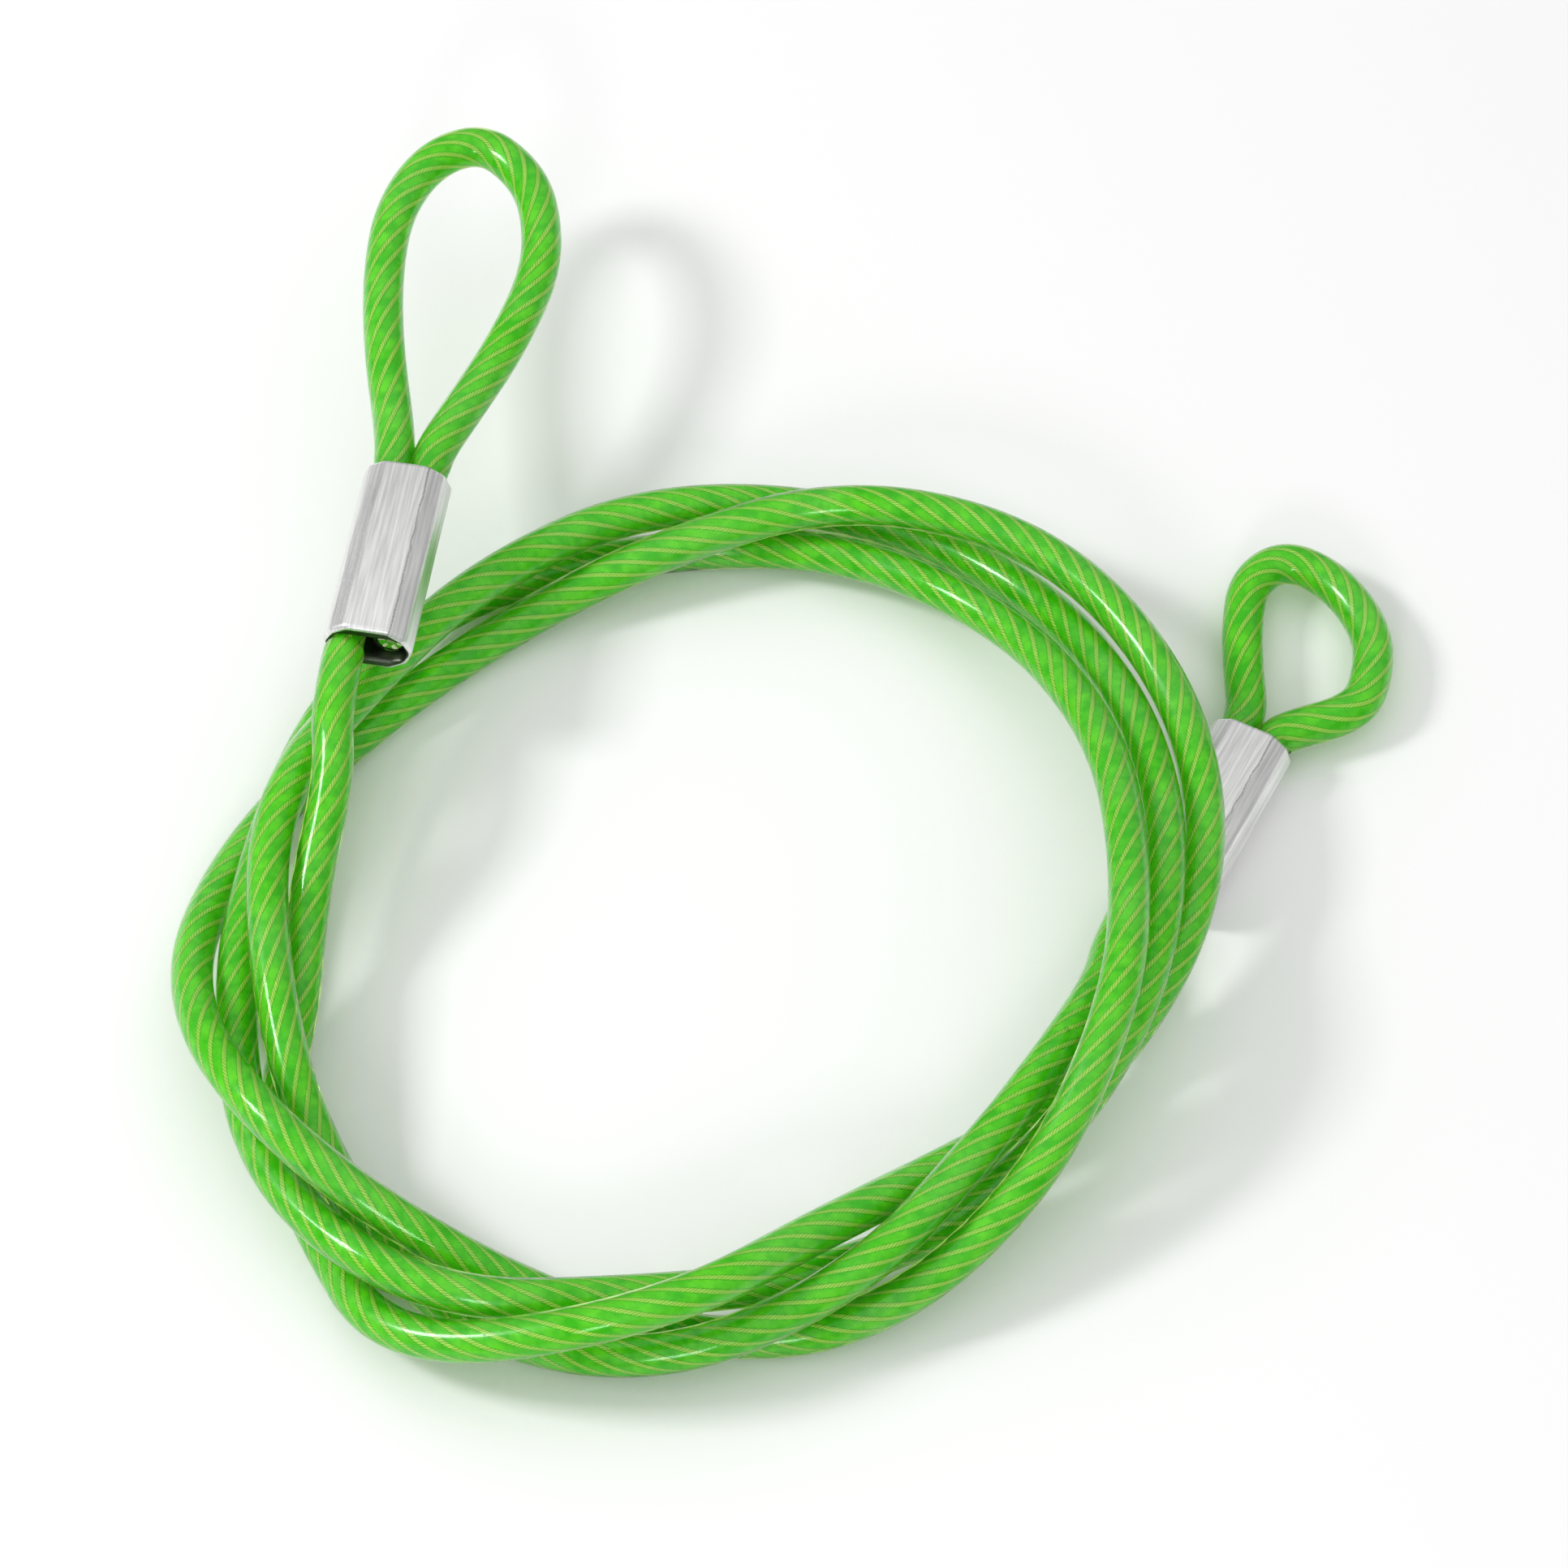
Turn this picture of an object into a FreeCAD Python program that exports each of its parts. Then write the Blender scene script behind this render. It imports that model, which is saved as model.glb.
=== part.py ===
import FreeCAD, Part
import math
import os

# A cable lock: a steel wire rope in a plastic jacket, wound into a loose coil.
# Each end of the cable turns back through a crimped aluminium ferrule and makes a soft eye.
# A padlock's shackle, or a second cable, closes the two eyes on each other.
# The part's frame has +Z up. The coil lies on the plane Z = 0, and the eyes point along +Y.
# All sizes are millimetres.

os.makedirs("parts", exist_ok=True)

V = FreeCAD.Vector
UP = V(0, 0, 1)

# Driving dimensions: the cable.
JACKET_D = 5.0          # outside of the plastic jacket
JACKET_BORE = 3.3       # the jacket's bore, which the wire rope fills
ROPE_D = 3.2            # the wire rope's outside, over its strands
CORNER_SHARE = 0.45     # the share of its shorter run that a corner's arc takes

# Driving dimensions: the coil, about its own centre.
COIL_CENTRE = V(-10.8, -22.3, 0)
COIL_R = 54.5           # mean radius of the turns
COIL_OVAL = 4.5         # how much the coil is drawn out along one diagonal
OVAL_ANGLE = 50         # the direction of that diagonal, in degrees
SPOKE_STEP = 24         # degrees from one spoke of the coil to the next
COIL_START = 216        # the spoke where the winding starts, in degrees

# Where the cable crosses each spoke, turn by turn and anticlockwise from above.
# A lane is how far outside the mean radius it runs, and a level is its height over the ground.
# The turns lie loose, so they trade lanes and pass over and under each other.
# Where a level falls to 2 the cable lies on the ground, and is cut flat there, 0.5 deep.
LANES = [
    [0, 7.5, 2.5, -5, -5.5, 0, 4.5, 5, 4, 1.5, -2.5, -2, -0.5, 4, 5.5],
    [1, -4, -2, 4, 4.5, 1, -4, -6, -5, -2.5, 1, 4, 3, 0.5, 0],
    [3, 2.5, -3.5, -2.5, 0.5, 2, 0.5, -0.5, 1.5, 4, 4, 1.5, -0.5, -1, -4],
    [-3, 1, 3, 1.5, -2.5, -4.5],
]
LEVELS = [
    [3, 7.5, 15.5, 11.5, 5.5, 5, 10.5, 12.5, 13, 10.5, 7, 3, 3, 2.5, 9.5],
    [14.5, 7.5, 2.5, 4.5, 11.5, 19, 18, 14, 8.5, 5, 2, 3.5, 7.5, 8, 7.5],
    [8, 11, 8, 5.5, 6.5, 12, 14.5, 12, 7, 4.5, 7, 10, 12, 14, 13],
    [7.5, 3, 5.5, 10.5, 12, 9.5],
]

# Driving dimensions: the ferrules.
FERRULE_LENGTH = 25.0
FERRULE_FLAT = 1.4      # half the flat between the ferrule's two round halves
FERRULE_R = 4.1         # radius over the corners of the crimp's flats
CRIMP_ANGLES = [-72, -36, 0, 36, 72]
FERRULE_CHAMFER = 0.4
LEG_OFFSET = 2.6        # from the ferrule's axis to the axis of either leg of the cable
LEG_D = 4.5             # the jacket where the crimp squeezes it
LEG_BORE = 4.6          # height of the ferrule's bore round the two legs
DEAD_END = 1.5          # how far inside the ferrule the turned-back leg stops

# The upper end lies on top of the coil, and the side end lies beside it on the ground.
UPPER_MOUTH = V(-40, 29, 19.5)
UPPER_HEADING = 80      # degrees from +X towards +Y
SIDE_MOUTH = V(54.7, 3.6, 4.0)
SIDE_HEADING = 62.5

# The routes of the free stretches, chosen by hand about the coil's centre.
# A tail runs from the coil to its ferrule, whose mouth and last run come from the ferrule.
UPPER_TAIL = [V(-47.3, -34.4, 2.7), V(-50.1, -25, 2.9), V(-47.5, -14, 6),
              V(-46.5, 0, 11), V(-43.5, 12.5, 17)]
SIDE_TAIL = [V(42.2, -19.3, 9.5), V(46.9, -10.9, 7.5)]
TAIL_LAST_RUN = {"upper": 9.0, "side": 8.5}
# An eye's loop starts and ends with a straight run out of the ferrule, of these lengths.
EYE_RUNS = {"upper": (4.4, 4.8), "side": (3.8, 2.7)}
UPPER_LOOP = [(-39.2, 73.8), (-39.5, 85.9), (-38.2, 95.5), (-33.8, 103.1), (-27.5, 105.7),
              (-22.4, 100.9), (-20.1, 94.9), (-19.9, 85.4), (-24, 74.1), (-29.1, 64.4)]
SIDE_LOOP = [(65.7, 36.2), (65.8, 42.5), (66.8, 49.4), (71.5, 53), (77.6, 49.5),
             (81.7, 42.2), (81.5, 35.8), (79.3, 30.2)]

# How finely a gap is measured along the cable, and how far apart two stretches must be.
GAP_STEP = 0.5
GAP_REACH = 18.0
BOX_TOLERANCE = 0.02    # how closely the printed boxes follow the round faces


def unit(v):
    return v * (1 / v.Length)


def heading_vector(degrees):
    a = math.radians(degrees)
    return V(math.cos(a), math.sin(a), 0)


def arc_edge(start, corner, end):
    """The arc from start to end whose tangents meet at the corner, and its radius."""
    half = unit(corner - start).getAngle(unit(end - corner)) / 2
    weight = math.cos(half)
    middle = (start + end + corner * (2 * weight)) * (1 / (2 + 2 * weight))
    edge = Part.Arc(start, middle, end).toShape()
    return edge, (corner - start).Length / math.tan(half)


def run_edges(points):
    """Straight runs joined by tangent arcs, and the arcs' radii."""
    edges = []
    radii = []
    here = points[0]
    for before, corner, after in zip(points, points[1:], points[2:]):
        back = before - corner
        on = after - corner
        reach = CORNER_SHARE * min(back.Length, on.Length)
        start = corner + unit(back) * reach
        end = corner + unit(on) * reach
        edges.append(Part.LineSegment(here, start).toShape())
        arc, radius = arc_edge(start, corner, end)
        edges.append(arc)
        radii.append(radius)
        here = end
    edges.append(Part.LineSegment(here, points[-1]).toShape())
    return edges, radii


def biarc_edges(p0, t0, p1, t1):
    """Two arcs from p0, leaving along t0, to p1, arriving along t1."""
    chord = p1 - p0
    a = 2 * (1 - t0.dot(t1))
    b = 2 * chord.dot(t0 + t1)
    reach = 2 * chord.dot(chord) / (b + math.sqrt(b * b + 4 * a * chord.dot(chord)))
    first = p0 + t0 * reach
    last = p1 - t1 * reach
    joint = (first + last) * 0.5
    arc_0, radius_0 = arc_edge(p0, first, joint)
    arc_1, radius_1 = arc_edge(joint, last, p1)
    return [arc_0, arc_1], [radius_0, radius_1]


def spoke_point(number):
    """Where the cable crosses a spoke, counted from the start of the winding."""
    degrees = COIL_START + SPOKE_STEP * number
    a = math.radians(degrees)
    lane = sum(LANES, [])[number]
    level = sum(LEVELS, [])[number]
    radius = COIL_R + COIL_OVAL * math.cos(2 * (a - math.radians(OVAL_ANGLE))) + lane
    return V(radius * math.cos(a), radius * math.sin(a), level)


def coil_edges(first_tail, last_tail):
    """The coil's turns on biarcs, with a straight end of one diameter at each tail."""
    leave = unit(first_tail[0] - first_tail[1])
    arrive = unit(last_tail[1] - last_tail[0])
    count = len(sum(LANES, []))
    points = [spoke_point(n) for n in range(count)]
    points[0] = first_tail[0] + leave * JACKET_D
    points[-1] = last_tail[0] - arrive * JACKET_D
    slopes = [unit(after - before) for before, after in zip(points, points[2:])]
    slopes = [leave] + slopes + [arrive]
    edges = [Part.LineSegment(first_tail[0], points[0]).toShape()]
    radii = []
    for n in range(count - 1):
        arcs, found = biarc_edges(points[n], slopes[n], points[n + 1], slopes[n + 1])
        edges += arcs
        radii += found
    edges.append(Part.LineSegment(points[-1], last_tail[0]).toShape())
    return edges, radii


def sweep(edges, diameter):
    """A round bar along the edges, as a pipe shell in its default mode."""
    spine = Part.Wire(edges)
    start = edges[0].valueAt(edges[0].FirstParameter)
    direction = edges[0].tangentAt(edges[0].FirstParameter)
    ring = Part.Wire(Part.makeCircle(diameter / 2, start, direction))
    solid = spine.makePipeShell([ring], True, False)
    expected = math.pi * diameter ** 2 / 4 * spine.Length
    print("  bar %.1f mm: length %.1f, volume over section times length %.4f"
          % (diameter, spine.Length, solid.Volume / expected))
    return solid


def place_along(mouth, heading, across, along):
    """A point across the ferrule's mouth, to the left, and along its axis."""
    forward = heading_vector(heading)
    left = UP.cross(forward)
    return mouth + left * across + forward * along


def tail_route(points, name, mouth, heading):
    """The hand-made points, then the straight run into the ferrule's left bore."""
    last = place_along(mouth, heading, LEG_OFFSET, 0)
    before = last - heading_vector(heading) * TAIL_LAST_RUN[name]
    return points + [before, last]


def eye_route(loop, name, mouth, heading):
    """Out of the ferrule's left bore, round the loop and back into its right bore."""
    out, back = EYE_RUNS[name]
    top_left = place_along(mouth, heading, LEG_OFFSET, FERRULE_LENGTH)
    top_right = place_along(mouth, heading, -LEG_OFFSET, FERRULE_LENGTH)
    forward = heading_vector(heading)
    ring = [V(x, y, mouth.z) for x, y in loop]
    return [top_left, top_left + forward * out] + ring + [top_right + forward * back, top_right]


def eye_wire(route, mouth, heading):
    """The whole wire of an eye: both legs in the ferrule, and the loop between them."""
    edges, radii = run_edges(route)
    left_mouth = place_along(mouth, heading, LEG_OFFSET, 0)
    right_end = place_along(mouth, heading, -LEG_OFFSET, DEAD_END)
    leg_out = Part.LineSegment(left_mouth, route[0]).toShape()
    leg_back = Part.LineSegment(route[-1], right_end).toShape()
    return [leg_out] + edges + [leg_back], radii


def eye_jacket(route, wire, mouth, heading):
    """The loop at its full diameter, and the two squeezed legs inside the ferrule."""
    forward = heading_vector(heading)
    loop = sweep(run_edges(route)[0], JACKET_D)
    left_mouth = place_along(mouth, heading, LEG_OFFSET, 0)
    right_end = place_along(mouth, heading, -LEG_OFFSET, DEAD_END)
    left = Part.makeCylinder(LEG_D / 2, FERRULE_LENGTH, left_mouth, forward)
    right = Part.makeCylinder(LEG_D / 2, FERRULE_LENGTH - DEAD_END, right_end, forward)
    bore = sweep(wire, JACKET_BORE)
    return loop.fuse([left, right]).cut(bore).removeSplitter()


def section_face(outline, mouth, heading):
    """A face across the ferrule's axis, from points given as left and up."""
    left = UP.cross(heading_vector(heading))
    points = [mouth + left * x + UP * y for x, y in outline]
    return Part.Face(Part.makePolygon(points + points[:1]))


def ferrule_bore(mouth, heading):
    """A slot with round ends that holds the two legs side by side."""
    forward = heading_vector(heading)
    half = LEG_BORE / 2
    corners = [(LEG_OFFSET, half), (-LEG_OFFSET, half), (-LEG_OFFSET, -half), (LEG_OFFSET, -half)]
    slot = section_face(corners, mouth, heading).extrude(forward * FERRULE_LENGTH)
    ends = []
    for side in (LEG_OFFSET, -LEG_OFFSET):
        centre = place_along(mouth, heading, side, 0)
        ends.append(Part.makeCylinder(half, FERRULE_LENGTH, centre, forward))
    return slot.fuse(ends).removeSplitter()


def ferrule(mouth, heading):
    """An oval sleeve, squeezed to lengthwise flats, with its end edges broken."""
    outline = []
    for side in (1, -1):
        for degrees in CRIMP_ANGLES:
            a = math.radians(degrees)
            x = FERRULE_FLAT + FERRULE_R * math.cos(a)
            outline.append((side * x, side * FERRULE_R * math.sin(a)))
    forward = heading_vector(heading)
    body = section_face(outline, mouth, heading).extrude(forward * FERRULE_LENGTH)
    rims = [e for e in body.Edges if abs(e.tangentAt(e.FirstParameter).dot(forward)) < 0.01]
    body = body.makeChamfer(FERRULE_CHAMFER, rims)
    return body.cut(ferrule_bore(mouth, heading))


def space_above_ground():
    """A block that holds the whole coil and stands on the ground plane."""
    reach = 1.5 * COIL_R
    return Part.makeBox(2 * reach, 2 * reach, reach, V(-reach, -reach, 0))


def even_points(edges):
    """Points along the edges about GAP_STEP apart, with their distance along the cable."""
    points = []
    along = 0.0
    for edge in edges:
        count = max(1, round(edge.Length / GAP_STEP))
        for n in range(count):
            t = n / count
            parameter = edge.getParameterByLength(t * edge.Length)
            points.append((along + t * edge.Length, edge.valueAt(parameter)))
        along += edge.Length
    return points


def least_gap(edges):
    """The least clear space between two stretches of the cable that pass each other."""
    cells = {}
    for along, p in even_points(edges):
        key = tuple(int(c // JACKET_D) for c in p)
        cells.setdefault(key, []).append((along, p))
    least = GAP_REACH
    around = [(i, j, k) for i in (-1, 0, 1) for j in (-1, 0, 1) for k in (-1, 0, 1)]
    for key, held in cells.items():
        near = []
        for step in around:
            near += cells.get(tuple(a + b for a, b in zip(key, step)), [])
        for along, p in held:
            for other, q in near:
                if abs(along - other) > GAP_REACH:
                    least = min(least, p.distanceToPoint(q) - JACKET_D)
    return least


def report_radii(name, radii):
    print("%s radii: %s" % (name, ", ".join("%.1f" % r for r in radii)))


def save(name, shape):
    """Write one piece, moved from the coil's frame to the part's frame."""
    moved = shape.copy()
    moved.translate(COIL_CENTRE)
    moved.exportStep("parts/%s.step" % name)
    moved.tessellate(BOX_TOLERANCE)
    box = moved.optimalBoundingBox(True, False)
    print("%s: valid %s, solids %d, x %.2f to %.2f, y %.2f to %.2f, z %.2f to %.2f"
          % (name, moved.isValid(), len(moved.Solids), box.XMin, box.XMax,
             box.YMin, box.YMax, box.ZMin, box.ZMax))
    return box


def build_stretch(name, edges, room=None):
    """One stretch of cable: the jacket, kept inside its room, and the wire rope in it."""
    jacket = sweep(edges, JACKET_D)
    if room:
        jacket = jacket.common(room)
    jacket = jacket.cut(sweep(edges, JACKET_BORE))
    save(name + "_wire_rope", sweep(edges, ROPE_D))
    return save(name + "_jacket", jacket)


def build_end(name, loop, mouth, heading):
    """A ferrule, and the eye whose two legs it holds."""
    route = eye_route(loop, name, mouth, heading)
    wire, radii = eye_wire(route, mouth, heading)
    report_radii(name + " eye", radii)
    boxes = [save(name + "_ferrule", ferrule(mouth, heading))]
    boxes.append(save(name + "_eye_jacket", eye_jacket(route, wire, mouth, heading)))
    save(name + "_eye_wire_rope", sweep(wire, ROPE_D))
    return boxes


def main():
    upper = tail_route(UPPER_TAIL, "upper", UPPER_MOUTH, UPPER_HEADING)
    side = tail_route(SIDE_TAIL, "side", SIDE_MOUTH, SIDE_HEADING)
    upper_edges, upper_radii = run_edges(upper)
    side_edges, side_radii = run_edges(side)
    turns, turn_radii = coil_edges(upper, side)
    report_radii("upper tail", upper_radii)
    report_radii("side tail", side_radii)
    print("coil: least radius %.1f" % min(turn_radii))
    print("coil: least gap to itself %.3f" % least_gap(turns))

    boxes = [build_stretch("coil", turns, space_above_ground())]
    boxes.append(build_stretch("upper_tail", upper_edges))
    boxes.append(build_stretch("side_tail", side_edges))
    boxes += build_end("upper", UPPER_LOOP, UPPER_MOUTH, UPPER_HEADING)
    boxes += build_end("side", SIDE_LOOP, SIDE_MOUTH, SIDE_HEADING)

    whole = boxes[0]
    for box in boxes[1:]:
        whole.add(box)
    print("whole: x %.2f to %.2f, y %.2f to %.2f, z %.2f to %.2f"
          % (whole.XMin, whole.XMax, whole.YMin, whole.YMax, whole.ZMin, whole.ZMax))


main()
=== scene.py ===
# %% [markdown]
# # A cable lock
# The real object is one length of steel wire rope in a clear green plastic jacket. It lies
# in a loose coil of a little over three turns. Each end turns back through an aluminium
# ferrule and makes a soft eye for a padlock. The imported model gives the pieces' places, and
# this file gives them their looks. All lengths are metres.

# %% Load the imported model
import math
import bpy
import numpy as np
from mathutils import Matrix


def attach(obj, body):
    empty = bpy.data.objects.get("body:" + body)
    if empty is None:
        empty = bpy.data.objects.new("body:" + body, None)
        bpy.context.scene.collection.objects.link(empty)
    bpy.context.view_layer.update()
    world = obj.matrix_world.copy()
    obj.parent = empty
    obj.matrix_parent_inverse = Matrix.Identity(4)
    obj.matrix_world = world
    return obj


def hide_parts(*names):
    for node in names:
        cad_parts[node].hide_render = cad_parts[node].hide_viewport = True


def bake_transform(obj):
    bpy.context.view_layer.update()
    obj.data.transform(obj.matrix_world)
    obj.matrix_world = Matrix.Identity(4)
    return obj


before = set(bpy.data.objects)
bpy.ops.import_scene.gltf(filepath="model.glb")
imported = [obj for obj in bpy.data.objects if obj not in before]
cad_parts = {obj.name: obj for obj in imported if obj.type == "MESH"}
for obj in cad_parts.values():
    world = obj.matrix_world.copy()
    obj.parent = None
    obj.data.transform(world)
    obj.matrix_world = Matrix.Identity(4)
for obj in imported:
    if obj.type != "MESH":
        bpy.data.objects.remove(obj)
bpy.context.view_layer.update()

scene = bpy.context.scene
scene.view_settings.view_transform = "Standard"

# %% [markdown]
# ## The camera
# The photograph looks down at the coil from the front, at 58 degrees above the ground, from
# far enough off that the coil's near and far sides are almost one size. The coil isn't in
# the middle of the picture. A lens shift puts it there without turning the camera, so the
# view direction stays true.

# %% Camera
PICTURE = 1932
COIL_CENTRE = np.array([-0.0108, -0.0223, 0.0])
CAMERA_ELEVATION = math.radians(58)
CAMERA_DISTANCE = 0.8
LENS = 155.0
AIM = COIL_CENTRE + np.array([-0.0005, -0.0015, 0.005])
AIM_PIXEL = (861, 1146)

camera = bpy.data.objects.new("camera", bpy.data.cameras.new("camera"))
scene.collection.objects.link(camera)
scene.camera = camera
camera.data.lens = LENS
camera.data.shift_x = (PICTURE / 2 - AIM_PIXEL[0]) / PICTURE
camera.data.shift_y = (AIM_PIXEL[1] - PICTURE / 2) / PICTURE
camera.data.clip_start = 0.01
back = np.array([0, -math.cos(CAMERA_ELEVATION), math.sin(CAMERA_ELEVATION)])
camera.location = AIM + CAMERA_DISTANCE * back
camera.rotation_euler = (math.pi / 2 - CAMERA_ELEVATION, 0, 0)
print("camera at", [round(x, 3) for x in camera.location])

# %% [markdown]
# ## The cable's route
# The cable is one flexible thing, so its shape starts as one line. The coil's turns are
# worked out from a drawn-out circle with spokes. At each spoke, a lane says how far outside
# the circle the cable runs, and a level says how high it passes. The free ends are given
# points. They are the imported model's numbers, in metres, apart from three spokes,
# which are moved by half a millimetre or so. This smooth line runs a little inside the packed
# model's arcs, so two of its turns would cut into each other, and two others would show more
# ground between them than the real coil does.

# %% Sizes of the cable and its coil
JACKET_D = 0.005
ROPE_D = 0.0032
COIL_R = 0.0545
COIL_OVAL = 0.0045
OVAL_ANGLE = math.radians(50)
SPOKE_STEP = math.radians(24)
COIL_START = math.radians(216)

# One lane and one level for each spoke, in the order that the cable passes them.
LANES = 0.001 * np.array([
    0, 7.5, 2.5, -5, -5.5, 0, 4.5, 5, 4, 1.5, -2.5, -2, -0.5, 4, 5.5,
    1, -4, -2, 4, 4.5, 1, -4, -6, -5, -2.5, 1, 4, 3, 0.5, 0.4,
    3, 2.5, -3.5, -2.5, 0.5, 2, 0.5, -0.5, 1.5, 4, 4, 1.5, -0.5, -1, -4,
    -3.5, 0.4, 3, 1.5, -2.5, -4.5,
])
LEVELS = 0.001 * np.array([
    3, 7.5, 15.5, 11.5, 5.5, 5, 10.5, 12.5, 13, 10.5, 7, 3, 3, 2.5, 9.5,
    14.5, 7.5, 2.5, 4.5, 11.5, 19, 18, 14, 8.5, 5, 2, 3.5, 7.5, 8, 7.5,
    8, 11, 8, 5.5, 6.5, 12, 14.5, 12, 7, 4.5, 7, 10, 12, 14, 13,
    8, 3.5, 5.5, 10.5, 12, 9.5,
])
print("spokes:", len(LANES))

# %% Where the free ends go
FERRULE_LENGTH = 0.025
LEG_OFFSET = 0.0026
FAR_LEG_OFFSET = 0.00225
DEAD_END = 0.0015

# Places count from the coil's centre. A tail's points run from the coil to the ferrule. A
# loop lies level, and its points run from the left leg round to the right one.
UPPER = {
    "mouth": (-0.04, 0.029, 0.0195),
    "heading": math.radians(80),
    "tail": [(-0.0473, -0.0344, 0.0027), (-0.0501, -0.025, 0.0029), (-0.0475, -0.014, 0.006),
             (-0.0465, 0, 0.011), (-0.0435, 0.0125, 0.017)],
    "last_run": 0.009,
    "eye_runs": (0.0044, 0.0048),
    "loop": [(-0.0392, 0.0738), (-0.0395, 0.0859), (-0.0382, 0.0955), (-0.0338, 0.1031),
             (-0.0275, 0.1057), (-0.0224, 0.1009), (-0.0201, 0.0949), (-0.0199, 0.0854),
             (-0.024, 0.0741), (-0.0291, 0.0644)],
}
SIDE = {
    "mouth": (0.0547, 0.0036, 0.004),
    "heading": math.radians(62.5),
    "tail": [(0.0422, -0.0193, 0.0095), (0.0469, -0.0109, 0.0075)],
    "last_run": 0.0085,
    "eye_runs": (0.0038, 0.0027),
    "loop": [(0.0657, 0.0362), (0.0658, 0.0425), (0.0668, 0.0494), (0.0715, 0.053),
             (0.0776, 0.0495), (0.0817, 0.0422), (0.0815, 0.0358), (0.0793, 0.0302)],
}


def ferrule_axes(end):
    """The mouth, the unit vector along the ferrule, and the one to its left."""
    forward = np.array([math.cos(end["heading"]), math.sin(end["heading"]), 0])
    left = np.array([-forward[1], forward[0], 0])
    return COIL_CENTRE + end["mouth"], forward, left


def tail_points(end):
    """The listed points, then the straight run into the ferrule's left bore."""
    mouth, forward, left = ferrule_axes(end)
    last = mouth + left * LEG_OFFSET
    return np.vstack([COIL_CENTRE + end["tail"], last - forward * end["last_run"], last])


def eye_points(end):
    """From the mouth through the left bore, round the loop, and back into the right bore.

    The crimp draws the two legs together, so they stand a little closer at the far face.
    """
    mouth, forward, left = ferrule_axes(end)
    level = mouth[2]
    out, home = end["eye_runs"]
    top = mouth + forward * FERRULE_LENGTH
    loop = [COIL_CENTRE + (x, y, level) for x, y in end["loop"]]
    leg_out = [mouth + left * LEG_OFFSET, top + left * FAR_LEG_OFFSET,
               top + left * FAR_LEG_OFFSET + forward * out]
    leg_home = [top - left * FAR_LEG_OFFSET + forward * home, top - left * FAR_LEG_OFFSET,
                mouth - left * LEG_OFFSET + forward * DEAD_END]
    return np.array(leg_out + loop + leg_home)


for end in (UPPER, SIDE):
    print("ferrule mouth:", ferrule_axes(end)[0].round(4).tolist())

# %% The coil's turns
def coil_points(first_tail, last_tail):
    """Control points that pull a smooth line through every spoke of the coil.

    A spoke at angle a lies at radius R + oval * cos(2 (a - direction)) + lane. In the middle
    of its span the smooth line is at (before + 6 here + after) / 8, so the points are the
    solution of those equations, one for each spoke. The ends run straight into the tails.
    """
    angle = COIL_START + SPOKE_STEP * np.arange(len(LANES))
    radius = COIL_R + COIL_OVAL * np.cos(2 * (angle - OVAL_ANGLE)) + LANES
    spokes = np.stack([radius * np.cos(angle), radius * np.sin(angle), LEVELS], axis=1)
    spokes += COIL_CENTRE
    leave = first_tail[0] - first_tail[1]
    arrive = last_tail[1] - last_tail[0]
    first = first_tail[0] + leave * JACKET_D / np.linalg.norm(leave)
    last = last_tail[0] - arrive * JACKET_D / np.linalg.norm(arrive)
    inner = spokes[1:-1]
    count = len(inner)
    weights = 6 * np.eye(count) + np.eye(count, k=1) + np.eye(count, k=-1)
    wanted = 8 * inner
    wanted[0] -= first
    wanted[-1] -= last
    return np.vstack([first_tail[0], first, np.linalg.solve(weights, wanted), last, last_tail[0]])


upper_tail = tail_points(UPPER)
side_tail = tail_points(SIDE)
# Every route runs the same way, from the upper eye's dead end to the side eye's.
ROUTES = {
    "upper_eye": eye_points(UPPER)[::-1],
    "upper_tail": upper_tail[::-1],
    "coil": coil_points(upper_tail, side_tail),
    "side_tail": side_tail,
    "side_eye": eye_points(SIDE),
}
print({name: len(points) for name, points in ROUTES.items()})

# %% [markdown]
# ## From control points to a smooth line
# A NURBS spline of order 3 bends evenly between its control points and ends on its first
# and last ones. Reading it back as a mesh with no bevel gives a fine line, which numpy then
# spaces evenly, so that the jacket and every strand follow the same line.

# %% Read each route's spline
LINE_STEP = 0.0009
EYE_STEP = 0.0005


def smooth_line(points):
    """The NURBS spline of the points, as fine points read from Blender."""
    curve = bpy.data.curves.new("route", "CURVE")
    curve.dimensions = "3D"
    curve.resolution_u = 32
    spline = curve.splines.new("NURBS")
    spline.points.add(len(points) - 1)
    spline.points.foreach_set("co", np.c_[points, np.ones(len(points))].ravel())
    spline.order_u = 3
    spline.use_endpoint_u = True
    holder = bpy.data.objects.new("route", curve)
    mesh = bpy.data.meshes.new_from_object(holder)
    line = np.empty(3 * len(mesh.vertices))
    mesh.vertices.foreach_get("co", line)
    bpy.data.objects.remove(holder)
    bpy.data.curves.remove(curve)
    bpy.data.meshes.remove(mesh)
    return line.reshape(-1, 3)


def lengths_along(line):
    """Each point's distance from the start, along the line."""
    steps = np.linalg.norm(np.diff(line, axis=0), axis=1)
    return np.concatenate([[0], np.cumsum(steps)])


def even_line(line, step):
    """The same line with its points step apart, to the nearest whole number of steps."""
    along = lengths_along(line)
    count = round(along[-1] / step)
    wanted = np.linspace(0, along[-1], count + 1)
    return np.stack([np.interp(wanted, along, line[:, k]) for k in range(3)], axis=1)


STEPS = {name: EYE_STEP if name.endswith("eye") else LINE_STEP for name in ROUTES}
LINES = {name: even_line(smooth_line(points), STEPS[name]) for name, points in ROUTES.items()}
LENGTHS = {name: lengths_along(line)[-1] for name, line in LINES.items()}
print("lengths:", {name: round(length, 4) for name, length in LENGTHS.items()})

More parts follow.
